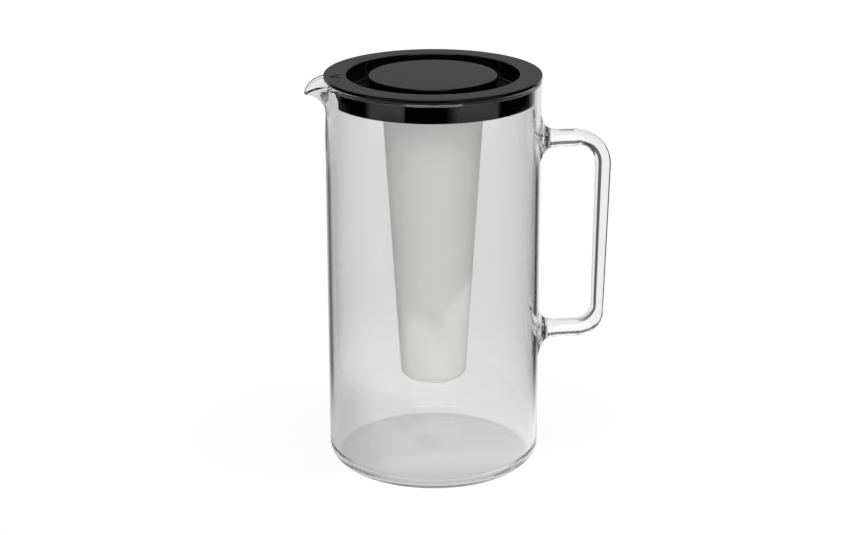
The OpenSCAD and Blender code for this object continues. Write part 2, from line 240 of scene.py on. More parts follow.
def makeJug():
    # one closed skin: up the outside, over the rim's bead, down the inside; above the beak's root it
    # stands half the wall's thickness off wallMid on both sides, and the bead is a circle round its end
    a = jugAngles()
    near = (a + 180) % 360 - 180
    outer, inner = jug["radius"], jug["radius"] - jug["wall"]
    rootZ = jug["height"] - jug["spoutRoot"]
    heelX, cornerX = outer - jug["heel"], inner - jug["innerHeel"]
    cornerZ = jug["base"] + jug["innerHeel"]
    outside = np.vstack((linePoints((0, 0), (heelX, 0), jug["baseRings"])[:-1],
                         arcPoints(heelX, jug["heel"], jug["heel"], -90, 0, jug["heelSteps"]),
                         linePoints((outer, jug["heel"]), (outer, rootZ), jug["wallRows"])[:-1]))
    inside = np.vstack((linePoints((inner, rootZ), (inner, cornerZ), jug["wallRows"])[:-1],
                        arcPoints(cornerX, cornerZ, jug["innerHeel"], 0, -90, jug["innerHeelSteps"]),
                        linePoints((cornerX, jug["base"]), (0, jug["base"]), jug["baseRings"])))
    bell = spoutBell(near)
    half = (jug["wall"] / 2 - jug["tipThinning"] * bell)[:, None]
    bead = (jug["bead"] / 2 - jug["tipThinning"] * bell)[:, None]
    shareStep = 0.02
    speed = np.linalg.norm(wallMid(near, 1.0) - wallMid(near, 1.0 - shareStep), axis=-1) / shareStep
    last = 1 - jug["beadTuck"] / speed  # stops just under the bead
    flareShares = np.linspace(0, 1, jug["flareRows"])
    flare = [wallFrame(near, last * s) + (wallMid(near, last * s),) for s in flareShares]
    rise = [mid + out * half for _, out, mid in flare]
    fall = [mid - out * half for _, out, mid in reversed(flare)]
    up, out = wallFrame(near, 1.0 + 0 * near)
    opening = np.arccos(half / bead)
    turns = [-opening + (np.pi + 2 * opening) * s for s in np.linspace(0, 1, jug["beadSteps"])]
    rim = [wallMid(near, 1.0) + bead * (np.cos(t) * out + np.sin(t) * up) for t in turns]
    bottom = revolve(np.array([[0.0, 0.0]]), a)
    skin = np.concatenate((bottom, revolve(outside, a), np.array(rise + rim + fall), revolve(inside, a)))
    return addSurface("glassJug", [skin], jug["sharpAngle"])


glassJug = makeJug()
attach(glassJug, "jug")
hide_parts("glass_body")
print("stage: jug,", len(glassJug.data.polygons), "faces")

# glass handle; the rings at faceShares close the weld's face, and weldSkin and weldMargin bound the skin
# that fusedShare opens there
handle = {
    "reach": 101.38, "lean": 2.5, "topZ": 195.0, "bottomZ": 77.0, "barTopWidth": 10.3,
    "barFootWidth": 10.8, "gripTopWidth": 9.3, "gripFootWidth": 7.7, "topBend": 16.5, "footBend": 12.0,
    "squeeze": 1.3, "squeezePower": 0.5, "swell": 1.2, "weldTopWidth": 32.6, "weldFootWidth": 31.0,
    "weldLength": 12.0, "weldShift": 1.6, "weldPower": 3.8, "weldGap": 0.04, "weldSkin": 0.12,
    "weldMargin": 0.2, "knuckle": 0.3, "knuckleAt": 8.5, "knuckleWidth": 1.7,
    "faceShares": (0, 0.25, 0.5, 0.75, 0.92), "sides": 96, "barSteps": 60, "bendSteps": 32,
    "gripSteps": 24, "sharpAngle": 50,
}
rodLook = {"colour": "#FAFBFA", "shade": "#F9F9F9", "ior": 1.474, "drawLine": 6.0, "drawShare": 0.1,
           "drawDepth": 0.02, "bump": 0.3}


def barRings(end, height, side, rod, weld, t):
    # rings from the weld's face, which hugs the jug's wall, to the start of the bend: the rod's width
    # flares at the weld by a power of the distance to it, with a soft knuckle where it was pressed on
    d = (end - jug["radius"]) * np.linspace(0, 1, handle["barSteps"] + 1)[:, None] ** 2
    near = np.maximum(0, 1 - d / handle["weldLength"])
    swell = near ** handle["weldPower"]
    knuckle = handle["knuckle"] * np.exp(-((d - handle["knuckleAt"]) / handle["knuckleWidth"]) ** 2)
    radius = (rod + (weld - rod) * swell) / 2 + knuckle
    middle = height + side * handle["weldShift"] * swell
    y = radius * np.sin(t)
    face = jug["radius"] + handle["weldGap"]
    hug = near * (np.sqrt(face ** 2 - y ** 2) - jug["radius"])
    rings = np.stack((jug["radius"] + d + hug, y, middle + side * radius * np.cos(t)), axis=-1)
    caps = []
    for share in handle["faceShares"]:
        z = middle[0, 0] + (rings[0, :, 2] - middle[0, 0]) * share
        caps.append(np.stack((np.sqrt(face ** 2 - (y[0] * share) ** 2), y[0] * share, z), axis=-1))
    return np.concatenate((np.array(caps), rings))


def makeHandle():
    # circles carried along bar, bend, grip, bend, bar, with their width eased from one to the next; the
    # path lies in y = 0, and h is how far it has turned down from the upper bar
    t = np.linspace(0, 2 * np.pi, handle["sides"], endpoint=False)
    lean = math.atan(handle["lean"] / (handle["topZ"] - handle["bottomZ"]))
    a, b = handle["topBend"], handle["footBend"]
    upperX = handle["reach"] - a / math.cos(lean) * (1 + math.sin(lean))
    lowerX = handle["reach"] - handle["lean"] - b / math.cos(lean) * (1 - math.sin(lean))
    upperZ, lowerZ = handle["topZ"] - a, handle["bottomZ"] + b
    upperTurn, lowerTurn = math.pi / 2 + lean, math.pi / 2 - lean
    s = np.linspace(0, 1, handle["bendSteps"] + 1)
    h = upperTurn * s
    width = handle["barTopWidth"] + (handle["gripTopWidth"] - handle["barTopWidth"]) * s
    width = width - handle["squeeze"] * np.sin(np.pi * s ** handle["squeezePower"])
    upperBend = np.stack((upperX + a * np.sin(h), upperZ + a * np.cos(h), h, width / 2), axis=-1)
    h = upperTurn + lowerTurn * s
    width = handle["gripFootWidth"] + (handle["barFootWidth"] - handle["gripFootWidth"]) * s
    width = width + handle["swell"] * np.sin(np.pi * s)
    lowerBend = np.stack((lowerX + b * np.sin(h), lowerZ + b * np.cos(h), h, width / 2), axis=-1)
    share = np.linspace(0, 1, handle["gripSteps"] + 1)[1:-1, None]
    grip = upperBend[-1] + (lowerBend[0] - upperBend[-1]) * share
    x, z, h, radius = np.concatenate((upperBend[1:], grip, lowerBend[:-1])).T[:, :, None]
    middle = np.stack((x + radius * np.cos(t) * np.sin(h), radius * np.sin(t) + 0 * x,
                       z + radius * np.cos(t) * np.cos(h)), axis=-1)
    upper = barRings(upperX, handle["topZ"], 1, handle["barTopWidth"], handle["weldTopWidth"], t)
    lower = barRings(lowerX, handle["bottomZ"], -1, handle["barFootWidth"], handle["weldFootWidth"], t)
    rod = np.concatenate((upper, middle, lower[::-1]))
    return addSurface("glassHandle", [rod], handle["sharpAngle"])


def fusedShare(tree, place, skinRadius):
    # 1 on the skin inside the two welds, where rod and wall are one piece of glass, and 0 elsewhere
    axes = addNode(tree, "ShaderNodeSeparateXYZ", links={0: place}).outputs
    flat = addNode(tree, "ShaderNodeCombineXYZ", links={"X": axes["X"], "Y": axes["Y"]})
    out = addNode(tree, "ShaderNodeVectorMath", {"operation": "LENGTH"}, {0: flat.outputs[0]})
    onSkin = addNode(tree, "ShaderNodeMath", {
        "operation": "COMPARE", 1: skinRadius * mm, 2: handle["weldSkin"] * mm},
        {0: out.outputs["Value"]})
    onSide = addNode(tree, "ShaderNodeMath", {"operation": "GREATER_THAN", 1: 0.0}, {0: axes["X"]})
    circles = []
    for height, width in ((handle["topZ"] + handle["weldShift"], handle["weldTopWidth"]),
                          (handle["bottomZ"] - handle["weldShift"], handle["weldFootWidth"])):
        up = addNode(tree, "ShaderNodeMath", {"operation": "SUBTRACT", 1: height * mm}, {0: axes["Z"]})
        across = addNode(tree, "ShaderNodeCombineXYZ", links={"X": up.outputs[0], "Y": axes["Y"]})
        far = addNode(tree, "ShaderNodeVectorMath", {"operation": "LENGTH"}, {0: across.outputs[0]})
        fusedRadius = width / 2 - handle["weldMargin"]
        circles.append(addNode(tree, "ShaderNodeMath", {"operation": "LESS_THAN", 1: fusedRadius * mm},
                               {0: far.outputs["Value"]}))
    inside = addNode(tree, "ShaderNodeMath", {"operation": "MAXIMUM"},
                     {0: circles[0].outputs[0], 1: circles[1].outputs[0]})
    onWall = addNode(tree, "ShaderNodeMath", {"operation": "MULTIPLY"},
                     {0: onSkin.outputs[0], 1: onSide.outputs[0]})
    fused = addNode(tree, "ShaderNodeMath", {"operation": "MULTIPLY"},
                    {0: inside.outputs[0], 1: onWall.outputs[0]})
    return fused.outputs[0]


def clearGlass(name, look, skinRadius):
    # borosilicate, drawn and fire-polished: clear and mirror-smooth, with long soft draw lines
    material, tree = newMaterial(name)
    place = addNode(tree, "ShaderNodeTexCoord").outputs["Object"]
    stretched = addNode(tree, "ShaderNodeMapping", {"Scale": (1, 1, look["drawShare"])},
                        {"Vector": place})
    lines = addNode(tree, "ShaderNodeTexNoise", {"Scale": 1 / (look["drawLine"] * mm), "Detail": 1.0},
                    {"Vector": stretched.outputs["Vector"]})
    bump = addNode(tree, "ShaderNodeBump", {"Strength": look["bump"], "Distance": look["drawDepth"] * mm},
                   {"Height": lines.outputs["Fac"]})
    glass = addNode(tree, "ShaderNodeBsdfPrincipled", {
        "Base Color": linear(look["colour"]), "Roughness": 0.0, "IOR": look["ior"],
        "Transmission Weight": 1.0}, {"Normal": bump.outputs["Normal"]})
    # lamps and bounced light pass straight in, so what stands in the jug is lit as in real glass
    clear = addNode(tree, "ShaderNodeBsdfTransparent", {"Color": linear(look["shade"])})
    path = addNode(tree, "ShaderNodeLightPath")
    passing = addNode(tree, "ShaderNodeMath", {"operation": "MAXIMUM"},
                      {0: path.outputs["Is Shadow Ray"], 1: path.outputs["Is Diffuse Ray"]})
    mixed = addNode(tree, "ShaderNodeMixShader", links={
        "Fac": passing.outputs[0], 1: glass.outputs[0], 2: clear.outputs[0]})
    gone = addNode(tree, "ShaderNodeBsdfTransparent", {"Color": (1, 1, 1, 1)})
    whole = addNode(tree, "ShaderNodeMixShader", links={
        "Fac": fusedShare(tree, place, skinRadius), 1: mixed.outputs[0], 2: gone.outputs[0]})
    addNode(tree, "ShaderNodeOutputMaterial", links={"Surface": whole.outputs[0]})
    return material


glassHandle = makeHandle()
blownGlass = clearGlass("blown borosilicate glass", jugLook, jug["radius"])
drawnGlass = clearGlass("drawn borosilicate rod", rodLook, jug["radius"] + handle["weldGap"])
glassJug.data.materials.append(blownGlass)
glassHandle.data.materials.append(drawnGlass)
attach(glassHandle, "jug")
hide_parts("glass_handle")
print("stage: handle,", len(glassHandle.data.polygons), "faces")

# thread between the lid's socket and the ice core's neck
thread = {"pitch": 4.0, "height": 1.4, "sink": 0.4, "rootWidth": 1.9, "crestWidth": 1.1,
          "fadeShare": 0.12, "coreRidgeZ": 225.4, "socketTurn": 90, "steps": 120}


def helixRidge(radius, side, z, turnStart):
    # four corner points carried up a helix, which rises by the pitch in one turn; the ridge stands out
    # (side = 1) or in (side = -1), and its height fades to nothing at both ends
    share = np.linspace(0, 1, thread["steps"] + 1)
    fade = np.minimum(1, np.minimum(share, 1 - share) / thread["fadeShare"])
    a = 2 * np.pi * share + math.radians(turnStart)
    midZ = z + thread["pitch"] * share
    root = radius - side * thread["sink"] + 0 * share
    crest = radius + side * (thread["height"] * fade - thread["sink"] * (1 - fade) / 2)
    corners = ((root, -thread["rootWidth"]), (crest, -thread["crestWidth"]),
               (crest, thread["crestWidth"]), (root, thread["rootWidth"]))
    rings = [np.stack((r * np.cos(a), r * np.sin(a), midZ + w / 2), axis=-1) for r, w in corners]
    sections = np.stack(rings, axis=1)
    first = np.repeat(sections[:1].mean(axis=1, keepdims=True), 4, axis=1)
    last = np.repeat(sections[-1:].mean(axis=1, keepdims=True), 4, axis=1)
    return np.concatenate((first, sections, last))


# lid; notchInnerShare is how far in the notch's cutter reaches, as a share of the skirt's radius
lid = {
    "radius": 63.1, "flangeZ": 234.0, "topZ": 236.1, "ringWidth": 13.0, "grooveWidth": 13.0,
    "grooveDepth": 11.0, "knobSink": 0.6, "wall": 2.2, "skirtRadius": 58.9, "skirtWall": 3.0,
    "skirtZ": 221.4, "sealSeatRadius": 57.5, "sealSeatZ": 231.2, "edge": 0.5, "fillet": 1.6,
    "notchHeight": 9.0, "notchHalfAngle": 19.5, "notchCorner": 6.0, "notchInnerShare": 0.86,
    "notchOverrun": 2.0, "arrowLength": 5.8, "arrowWidth": 8.6, "arrowStroke": 1.5, "arrowDepth": 0.4,
    "arrowInset": 2.8, "arrowOverrun": 1.0, "edgeSteps": 8, "filletSteps": 12, "notchSteps": 16,
    "columns": 360,
}
# the matt faces' grey is partly the ABS's own black and partly painted sheen of the spark-eroded texture
plasticLook = {"mattSheenGrey": "#282828", "polishedColour": "#040404", "ior": 1.49, "matt": 0.5,
               "polished": 0.05, "mattBand": 0.25, "levelFrom": 0.97, "grain": 0.35, "grainDepth": 0.03,
               "grainStrength": 0.5}


def makeLid():
    # one profile turned about Z: knob, groove and ring, down to the skirt's foot and back along the
    # underside to the socket; gives the socket's radius too
    groove = lid["radius"] - lid["ringWidth"]
    knob = groove - lid["grooveWidth"]
    socket = knob - lid["wall"]
    e, f = lid["edge"], lid["fillet"]
    knobZ, grooveZ = lid["topZ"] - lid["knobSink"], lid["topZ"] - lid["grooveDepth"]
    underZ, socketZ = grooveZ - lid["wall"], knobZ - lid["wall"]
    innerSkirt = lid["skirtRadius"] - lid["skirtWall"]
    profile = np.vstack((
        [(0, knobZ)],
        arcPoints(knob - e, knobZ - e, e, 90, 0, lid["edgeSteps"]),
        arcPoints(knob + f, grooveZ + f, f, 180, 270, lid["filletSteps"]),
        arcPoints(groove - f, grooveZ + f, f, -90, 0, lid["filletSteps"]),
        arcPoints(groove + e, lid["topZ"] - e, e, 180, 90, lid["edgeSteps"]),
        arcPoints(lid["radius"] - e, lid["topZ"] - e, e, 90, 0, lid["edgeSteps"]),
        arcPoints(lid["radius"] - e, lid["flangeZ"] + e, e, 0, -90, lid["edgeSteps"]),
        [(lid["sealSeatRadius"], lid["flangeZ"]), (lid["sealSeatRadius"], lid["sealSeatZ"]),
         (lid["skirtRadius"], lid["sealSeatZ"])],
        arcPoints(lid["skirtRadius"] - e, lid["skirtZ"] + e, e, 0, -90, lid["edgeSteps"]),
        arcPoints(innerSkirt + e, lid["skirtZ"] + e, e, 270, 180, lid["edgeSteps"]),
        [(innerSkirt, lid["flangeZ"]), (groove + lid["wall"], lid["flangeZ"]),
         (groove + lid["wall"], underZ), (socket, underZ), (socket, socketZ), (0, socketZ)]))
    return addSurface("lidMoulding", [revolve(profile, evenAngles(lid["columns"]))]), socket


def notchCutter():
    # an arch through the skirt on the spout's side, with round upper corners, drawn in y and z
    half = lid["skirtRadius"] * math.sin(math.radians(lid["notchHalfAngle"]))
    top, low = lid["skirtZ"] + lid["notchHeight"], lid["skirtZ"] - lid["notchOverrun"]
    c = lid["notchCorner"]
    arch = np.vstack((arcPoints(half - c, top - c, c, 0, 90, lid["notchSteps"]),
                      arcPoints(c - half, top - c, c, 90, 180, lid["notchSteps"]),
                      [(-half, low), (half, low)]))
    grid = prismGrid(arch, -lid["radius"], -lid["skirtRadius"] * lid["notchInnerShare"])
    return addSurface("notchCutter", [grid[:, :, [2, 0, 1]]])


def arrowCutters():
    # two slanted strokes that meet at the tip, pointing to the spout
    tip = -lid["radius"] + lid["arrowInset"]
    back = tip + lid["arrowLength"]
    halfWidth = lid["arrowWidth"] / 2
    stroke = lid["arrowStroke"] / math.sin(math.atan(halfWidth / lid["arrowLength"]))
    low, high = lid["topZ"] - lid["arrowDepth"], lid["topZ"] + lid["arrowOverrun"]
    strokes = []
    for side in (1, -1):
        backY = side * halfWidth
        outline = [(tip, 0), (tip + stroke, 0), (back + stroke, backY), (back, backY)]
        strokes.append(addSurface("arrowStroke", [prismGrid(outline, low, high)]))
    return strokes


def mouldedPlastic(name, look):
    # black ABS: spark-eroded matt on the ring's and the knob's top faces, mirror-polished elsewhere
    material, tree = newMaterial(name)
    coordinates = addNode(tree, "ShaderNodeTexCoord")
    axes = addNode(tree, "ShaderNodeSeparateXYZ", links={0: coordinates.outputs["Object"]}).outputs
    facing = addNode(tree, "ShaderNodeSeparateXYZ", links={0: coordinates.outputs["Normal"]})
    flat = addNode(tree, "ShaderNodeCombineXYZ", links={"X": axes["X"], "Y": axes["Y"]})
    outward = addNode(tree, "ShaderNodeVectorMath", {"operation": "LENGTH"}, {0: flat.outputs[0]})
    # the knob's top lies lower than the ring's, so the height from which the finish is matt falls there
    middleOfGroove = lid["radius"] - lid["ringWidth"] - lid["grooveWidth"] / 2
    onKnob = addNode(tree, "ShaderNodeMath", {"operation": "LESS_THAN", 1: middleOfGroove * mm},
                     {0: outward.outputs["Value"]})
    mattFrom = addNode(tree, "ShaderNodeMapRange", {
        "To Min": (lid["topZ"] - look["mattBand"]) * mm,
        "To Max": (lid["topZ"] - lid["knobSink"] - look["mattBand"]) * mm}, {"Value": onKnob.outputs[0]})
    high = addNode(tree, "ShaderNodeMath", {"operation": "GREATER_THAN"},
                   {0: axes["Z"], 1: mattFrom.outputs["Result"]})
    level = addNode(tree, "ShaderNodeMath", {"operation": "GREATER_THAN", 1: look["levelFrom"]},
                    {0: facing.outputs["Z"]})
    matt = addNode(tree, "ShaderNodeMath", {"operation": "MULTIPLY"},
                   {0: high.outputs[0], 1: level.outputs[0]})
    rough = addNode(tree, "ShaderNodeMapRange", {"To Min": look["polished"], "To Max": look["matt"]},
                    {"Value": matt.outputs[0]})
    # the matt faces take a lighter grey that is partly painted sheen; the polished faces keep the ABS's
    # own black
    tone = addNode(tree, "ShaderNodeMix", {
        "data_type": "RGBA", 6: linear(look["polishedColour"]), 7: linear(look["mattSheenGrey"])},
        {0: matt.outputs[0]})
    grain = addNode(tree, "ShaderNodeTexNoise", {"Scale": 1 / (look["grain"] * mm), "Detail": 2.0},
                    {"Vector": coordinates.outputs["Object"]})
    strength = addNode(tree, "ShaderNodeMath", {"operation": "MULTIPLY", 1: look["grainStrength"]},
                       {0: matt.outputs[0]})
    bump = addNode(tree, "ShaderNodeBump", {"Distance": look["grainDepth"] * mm},
                   {"Height": grain.outputs["Fac"], "Strength": strength.outputs[0]})
    plastic = addNode(tree, "ShaderNodeBsdfPrincipled", {"IOR": look["ior"]}, {
        "Base Color": tone.outputs[2], "Roughness": rough.outputs["Result"],
        "Normal": bump.outputs["Normal"]})
    addNode(tree, "ShaderNodeOutputMaterial", links={"Surface": plastic.outputs[0]})
    return material


def rubber(name, look):
    # silicone: smooth, soft-edged sheen with a fine dusty bloom
    material, tree = newMaterial(name)
    place = addNode(tree, "ShaderNodeTexCoord").outputs["Object"]
    bloom = addNode(tree, "ShaderNodeTexNoise", {"Scale": 1 / (look["bloom"] * mm), "Detail": 2.0},
                    {"Vector": place})
    rough = addNode(tree, "ShaderNodeMapRange", {
        "To Min": look["roughness"] - look["bloomSpan"], "To Max": look["roughness"] + look["bloomSpan"]},
        {"Value": bloom.outputs["Fac"]})
    body = addNode(tree, "ShaderNodeBsdfPrincipled", {
        "Base Color": linear(look["colour"]), "IOR": look["ior"], "Subsurface Weight": look["scatter"],
        "Subsurface Radius": (1, 1, 1), "Subsurface Scale": look["scatterDepth"] * mm},
        {"Roughness": rough.outputs["Result"]})
    addNode(tree, "ShaderNodeOutputMaterial", links={"Surface": body.outputs[0]})
    return material


lidMoulding, socketRadius = makeLid()
cutAway(lidMoulding, [notchCutter(), *arrowCutters()])
# the socket's ridge winds half a pitch under the core's
socketRidgeZ = thread["coreRidgeZ"] - thread["pitch"] / 4
lidRidge = addSurface("lidRidge", [helixRidge(socketRadius, -1, socketRidgeZ, thread["socketTurn"])])
blackPlastic = mouldedPlastic("moulded black ABS", plasticLook)
for piece in (lidMoulding, lidRidge):
    piece.data.materials.clear()
    piece.data.materials.append(blackPlastic)
    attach(piece, "lid_turned")
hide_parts("lid")
print("stage: lid,", len(lidMoulding.data.polygons), "faces")

sealLook = {"colour": "#161718", "roughness": 0.36, "scatter": 0.0, "scatterDepth": 1.5, "ior": 1.41,
            "bloom": 1.5, "bloomSpan": 0.08}
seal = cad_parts["lid_seal"]
seal.data.materials.clear()
seal.data.materials.append(rubber("moulded black silicone", sealLook))

# ice core
core = {
    "topWidth": 59.4, "endWidth": 38.2, "endZ": 51.4, "collarUnderZ": 221.2, "collarZ": 222.8,
    "neckTopZ": 231.9, "neckRadius": 32.9, "collarRadius": 37.7, "wall": 2.0, "endRadius": 5.5,
    "edge": 0.5, "edgeSteps": 8, "endSteps": 20, "innerEndSteps": 14, "endRings": 6, "innerEndRings": 4,
    "columns": 240,
}
frostLook = {"colour": "#D9DAD8", "ior": 1.49, "roughness": 0.5, "grain": 0.5, "grainDepth": 0.03,
             "grainStrength": 0.4, "scatter": 0.35, "scatterDepth": 4.0}


def makeCore():
    # one profile turned about Z: round end, tapered tube, collar, screw neck, and back down inside; the
    # end's arcs touch both the flat and the taper, whose slope is half the widths' difference over height
    slope = math.atan((core["topWidth"] - core["endWidth"]) / 2 / (core["collarUnderZ"] - core["endZ"]))
    tilt, e, r = math.degrees(slope), core["edge"], core["endRadius"]
    midZ = core["endZ"] + r
    midR = core["topWidth"] / 2 - (core["collarUnderZ"] - midZ) * math.tan(slope) - r / math.cos(slope)
    innerR = r - core["wall"]
    innerTop = midR + (core["collarUnderZ"] - midZ) * math.tan(slope) + innerR / math.cos(slope)
    innerZ = core["endZ"] + core["wall"]
    mouth = core["neckRadius"] - core["wall"]
    profile = np.vstack((
        [(0, core["endZ"])],
        linePoints((0, core["endZ"]), (midR, core["endZ"]), core["endRings"])[:-1],
        arcPoints(midR, midZ, r, -90, -tilt, core["endSteps"]),
        [(core["topWidth"] / 2, core["collarUnderZ"])],
        arcPoints(core["collarRadius"] - e, core["collarUnderZ"] + e, e, -90, 0, core["edgeSteps"]),
        [(core["collarRadius"], core["collarZ"]), (core["neckRadius"], core["collarZ"])],
        arcPoints(core["neckRadius"] - e, core["neckTopZ"] - e, e, 0, 90, core["edgeSteps"]),
        [(mouth, core["neckTopZ"]), (mouth, core["collarZ"] + core["wall"]),
         (innerTop, core["collarUnderZ"])],
        arcPoints(midR, midZ, innerR, -tilt, -90, core["innerEndSteps"]),
        linePoints((midR, innerZ), (0, innerZ), core["innerEndRings"])))
    return addSurface("iceCore", [revolve(profile, evenAngles(core["columns"]))])


def frostedPlastic(name, look):
    # translucent polypropylene from a blasted mould: milky, with a satin skin that has no mirror image
    material, tree = newMaterial(name)
    place = addNode(tree, "ShaderNodeTexCoord").outputs["Object"]
    grain = addNode(tree, "ShaderNodeTexNoise", {"Scale": 1 / (look["grain"] * mm), "Detail": 3.0},
                    {"Vector": place})
    bump = addNode(tree, "ShaderNodeBump", {
        "Strength": look["grainStrength"], "Distance": look["grainDepth"] * mm},
        {"Height": grain.outputs["Fac"]})
    body = addNode(tree, "ShaderNodeBsdfPrincipled", {
        "Base Color": linear(look["colour"]), "Roughness": look["roughness"], "IOR": look["ior"],
        "Subsurface Weight": look["scatter"], "Subsurface Radius": (1, 1, 1),
        "Subsurface Scale": look["scatterDepth"] * mm}, {"Normal": bump.outputs["Normal"]})
    addNode(tree, "ShaderNodeOutputMaterial", links={"Surface": body.outputs[0]})
    return material


iceCore = makeCore()
coreRidge = addSurface("coreRidge", [helixRidge(core["neckRadius"], 1, thread["coreRidgeZ"], 0)])
frosted = frostedPlastic("frosted moulded polypropylene", frostLook)
for piece in (iceCore, coreRidge):
    piece.data.materials.append(frosted)
    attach(piece, "core")
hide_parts("ice_core")
print("stage: ice core,", len(iceCore.data.polygons), "faces")

washerLook = {"colour": "#D5D8D7", "roughness": 0.4, "scatter": 0.5, "scatterDepth": 1.5, "ior": 1.41,
              "bloom": 1.5, "bloomSpan": 0.08}
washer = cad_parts["core_seal"]
washer.data.materials.clear()
washer.data.materials.append(rubber("milky moulded silicone", washerLook))

# studio; the camera's roll alone is in radians
studio = {
    "azimuth": -7.5, "elevation": 18.447, "distance": 1321.758, "targetX": -3.455, "targetZ": 118.404,
    "roll": -0.003, "focalPixels": 2233.735, "imageWidth": 855, "sensor": 36.0, "ambient": 0.15,
    "bounces": 48, "glassBounces": 40, "mirrorBounces": 40,
}
softbox = {"distance": 800, "height": 620, "width": 1000, "tall": 600, "level": 2.5, "aimZ": 120}
highLamp = {"height": 1415, "width": 10, "tall": 10, "aimZ": 80}
# name, degrees round the jug from the camera to its right, distance from the jug's axis, level
highLamps = (("leftHighLamp", -30, 412, 52000), ("rightHighLamp", 63.5, 452, 60000))
# the floor's tones: paper by the noise of its fibres, and the others by place, as shares of reach out
# from the axis or of span along X and along Y; seen is the glow that glass and gloss see, pale near the
# jug with a painted shadow under it
floorLook = {
    "radii": (0, 150, 300, 450, 1200, 3000), "columns": 96, "gap": 0.05, "fibresPerMm": 0.9,
    "reach": 500, "span": 200, "paper": ((0.0, 0.68), (1.0, 0.74)), "white": ((0.1, 0.88), (0.4, 1.0)),
    "fade": ((0.14, 0.0), (0.4, 1.0)), "seenShare": 0.9,
    "seen": ((0.0, 0.76), (0.104, 0.75), (0.112, 0.68), (0.122, 0.93), (0.2, 0.93)),
    "paintedShadeAlongX": ((0.35, 0.6), (0.46, 1.0)), "paintedShadeAlongY": ((0.3, 0.6), (0.38, 0.76), (0.46, 1.0)),
}


def around(azimuth, distance, height):
    # a place round the jug; azimuth 0 is in front of it, on -Y: x = d sin a, y = -d cos a
    a = math.radians(azimuth)
    return np.array((math.sin(a) * distance, -math.cos(a) * distance, height)) * mm


def lookAt(thing, place, target):
    # turns -Z to the target and keeps +Y up
    back = unit(np.array(place) - np.array(target))
    right = unit(np.cross((0, 0, 1), back))
    up = np.cross(back, right)
    turn = np.eye(4)
    turn[:3, 0], turn[:3, 1], turn[:3, 2], turn[:3, 3] = right, up, back, place
    thing.matrix_world = Matrix(turn.tolist())


def addSoftbox(name, azimuth, distance, level, box):
    # level is the brightness that the box shows in a mirror: power = level pi width tall
    light = bpy.data.lights.new(name, "AREA")
    light.shape = "RECTANGLE"
    light.size, light.size_y = box["width"] * mm, box["tall"] * mm
    light.energy = level * math.pi * light.size * light.size_y
    lamp = bpy.data.objects.new(name, light)
    bpy.context.scene.collection.objects.link(lamp)
    lookAt(lamp, around(azimuth, distance, box["height"]), np.array((0, 0, box["aimZ"])) * mm)
    return lamp


def makeCamera():
    # stands at its azimuth, elevation and distance from the target, as the photo's camera did
    a = studio["azimuth"]
    side = np.array((math.cos(math.radians(a)), math.sin(math.radians(a)), 0)) * studio["targetX"] * mm
    target = side + np.array((0, 0, studio["targetZ"])) * mm
    level = math.radians(studio["elevation"])
    place = target + around(a, studio["distance"] * math.cos(level), studio["distance"] * math.sin(level))
    data = bpy.data.cameras.new("camera")
    data.sensor_width = studio["sensor"]
    data.lens = studio["focalPixels"] / studio["imageWidth"] * studio["sensor"]
    camera = bpy.data.objects.new("camera", data)
    bpy.context.scene.collection.objects.link(camera)
    lookAt(camera, place, target)
    camera.rotation_mode = "XYZ"
    camera.rotation_euler.rotate_axis("Z", studio["roll"])
    bpy.context.scene.camera = camera


